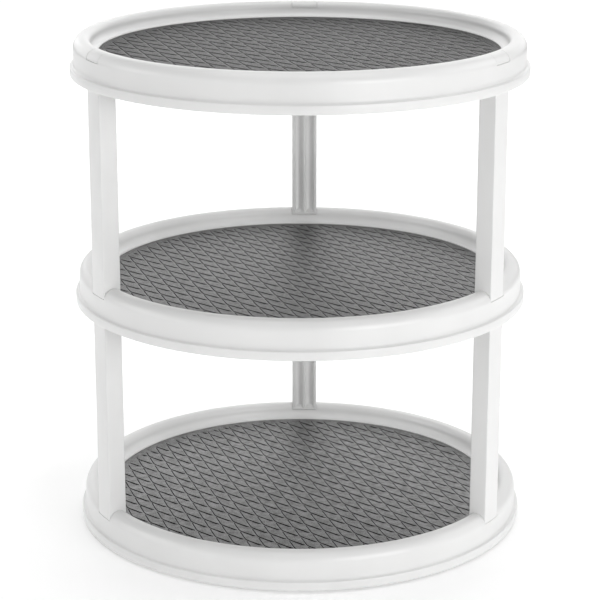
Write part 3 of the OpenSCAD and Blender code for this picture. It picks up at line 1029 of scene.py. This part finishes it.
def camera():
    """Camera of the photo, looking a little down."""
    data = bpy.data.cameras.new("camera")
    data.lens = CAMERA_LENS
    data.sensor_width = SENSOR
    data.clip_end = 100.0
    obj = bpy.data.objects.new("camera", data)
    turn = math.radians(VIEW_TURN)
    obj.location = (CAMERA_BACK * math.sin(turn), -CAMERA_BACK * math.cos(turn), CAMERA_HEIGHT)
    obj.rotation_euler = (math.radians(90.0 - CAMERA_PITCH), 0.0, turn)
    bpy.context.scene.collection.objects.link(obj)
    bpy.context.scene.camera = obj


def softbox(name, azimuth, elevation, size, power):
    """Area light aimed at the turntable; azimuth is counted from +X towards +Y."""
    data = bpy.data.lights.new(name, "AREA")
    data.shape = "RECTANGLE"
    data.size = size[0]
    data.size_y = size[1]
    data.energy = power
    obj = bpy.data.objects.new(name, data)
    turn = math.radians(azimuth)
    rise = math.radians(elevation)
    aim = Vector((math.cos(rise) * math.cos(turn), math.cos(rise) * math.sin(turn), math.sin(rise)))
    obj.location = Vector((0.0, 0.0, LIGHT_AIM)) + aim * LIGHT_DISTANCE
    obj.rotation_euler = aim.to_track_quat("Z", "Y").to_euler()
    obj.visible_camera = False
    bpy.context.scene.collection.objects.link(obj)


def world():
    """White seen directly, dimmer as a light."""
    scene_world = bpy.data.worlds.new("world")
    bpy.context.scene.world = scene_world
    scene_world.use_nodes = True
    tree = scene_world.node_tree
    seen = tree.nodes["Background"]
    seen.inputs["Color"].default_value = (1, 1, 1, 1)
    seen.inputs["Strength"].default_value = BACKDROP
    light = tree.nodes.new("ShaderNodeBackground")
    light.inputs["Color"].default_value = (1, 1, 1, 1)
    light.inputs["Strength"].default_value = AMBIENT
    path = tree.nodes.new("ShaderNodeLightPath")
    mix = tree.nodes.new("ShaderNodeMixShader")
    tree.links.new(path.outputs["Is Camera Ray"], mix.inputs["Fac"])
    tree.links.new(light.outputs["Background"], mix.inputs[1])
    tree.links.new(seen.outputs["Background"], mix.inputs[2])
    tree.links.new(mix.outputs["Shader"], tree.nodes["World Output"].inputs["Surface"])


def floor():
    """Back-lit white table."""
    h = FLOOR_HALF
    verts = [(-h, -h, 0), (h, -h, 0), (h, h, 0), (-h, h, 0)]
    obj = make_mesh("floor", verts, [(0, 1, 2, 3)])
    n = Nodes("floor_paint")
    cloud = n.noise(300 * MM, 2.0)
    n.drive("Base Color", n.ramp(cloud, [(0.3, 0.90), (0.7, 0.92)]))
    n.set(Roughness=0.9, Specular_IOR_Level=0.1)
    n.set(Emission_Color=(1, 1, 1, 1), Emission_Strength=FLOOR_GLOW)
    obj.data.materials.append(n.material)


def studio():
    """World and the soft lights: azimuth, elevation, width and height, power."""
    world()
    softbox("key_right", 308, 10, (1.7, 0.9), 35.0)
    softbox("front_left", 224, 10, (1.5, 0.9), 8.0)
    softbox("left", 186, 14, (1.4, 1.0), 17.0)
    softbox("right", 15, 28, (1.6, 1.2), 13.0)
    softbox("back_low", 85, 13, (3.2, 0.8), 13.0)
    softbox("back", 85, 38, (2.2, 1.4), 16.0)
    softbox("back_left", 132, 15, (1.8, 1.2), 11.0)
    softbox("top", 0, 90, (2.4, 2.4), 40.0)
    bpy.context.scene.view_settings.view_transform = "Standard"


# ---------------------------------------------------------------- build
def cad_finish(names, material):
    """Gives carried-over CAD nodes their material."""
    for name in names:
        obj = frame["nodes"][name]
        obj.data.materials.clear()
        obj.data.materials.append(material)


WHITE = (0.76, 0.76, 0.755)
BASE_WHITE = (0.76, 0.76, 0.75)
TRAY_ROUGHNESS = 0.36
POST_ROUGHNESS = 0.33
BASE_ROUGHNESS = 0.5
LINER_ROUGHNESS = 0.33
RIDGE_ROUGHNESS = 0.4
GROOVE_ROUGHNESS = 0.8
GROOVE_SHEEN = 0.1
RIDGE_SHEEN = 1.5           # times the sheen of the sheet
LINER_GRAIN = 0.9 * MM
GROOVE_GRAIN = 0.5 * MM
# Grooves are painted near black, with little sheen, as the shade that falls in them.
GROOVE_SHADE_TONES = (0.004, 0.010)
# Ridges beside the thin legs are painted lighter, with more sheen, as a highlight.
RIDGE_HIGHLIGHT_TONES = (0.08, 0.16)
# Liners from the bottom tier up: dark tone, light tone, sheen; scale and place of the pattern. The tones
# and sheens are painted light: the bottom liner is made lighter and shinier and the top one darker and
# duller, for the light that falls on each tier.
LINER_LIT_AND_SHADED_TONES = [(0.03, 0.17, 0.8), (0.012, 0.07, 0.55), (0.006, 0.03, 0.1)]
PATTERN_SCALES = [1.0, 1.0, 1.16]
PATTERN_PHASES = [Vector((26.4, 33.7)) - THIN_LEG, Vector((3.0, 5.0)), Vector((1.0, -2.0))]


def liner_materials(tier, groove):
    """Sheet, groove and ridge materials of one liner; the groove is painted dark as shade and the ridge
    painted lighter as a highlight.
    """
    dark, light, sheen = LINER_LIT_AND_SHADED_TONES[tier]
    name = TIERS[tier] + "_liner"
    sheet = liner_rubber(name + "_rubber", dark, light, LINER_GRAIN, LINER_ROUGHNESS, sheen)
    # Ridge material, painted lighter with more sheen as a highlight.
    ridge_highlight = liner_rubber(name + "_ridge_highlight", *RIDGE_HIGHLIGHT_TONES, LINER_GRAIN, RIDGE_ROUGHNESS, RIDGE_SHEEN * sheen)
    return [sheet, groove, ridge_highlight]


def build():
    """Camera, every piece with its materials, floor and lights."""
    camera()
    tray_white = white_plastic("tray_plastic", WHITE, TRAY_ROUGHNESS)
    post_white = white_plastic("post_plastic", WHITE, POST_ROUGHNESS)
    base_white = white_plastic("base_plastic", BASE_WHITE, BASE_ROUGHNESS)
    # The grooves' material, painted near black as shade.
    groove = liner_rubber("liner_groove_painted_shade", *GROOVE_SHADE_TONES, GROOVE_GRAIN, GROOVE_ROUGHNESS, GROOVE_SHEEN)
    for tier in range(3):
        tray(tier, [tray_white])
    for tier in range(3):
        liner(tier, liner_materials(tier, groove), PATTERN_SCALES[tier], PATTERN_PHASES[tier])
    for tier in range(2):
        for place in POST_ANGLES:
            post(tier, place, [post_white])
    for place in POST_ANGLES:
        socket_cap(place, [tray_white])
    cad_finish(["base_plate"], base_white)
    cad_finish(["foot_%d" % (i + 1) for i in range(6)], black_rubber())
    cad_finish(["ball_cage"], nylon())
    cad_finish(["bearing_balls", "pivot_screw", "pivot_washer"], steel())
    floor()
    studio()


build()
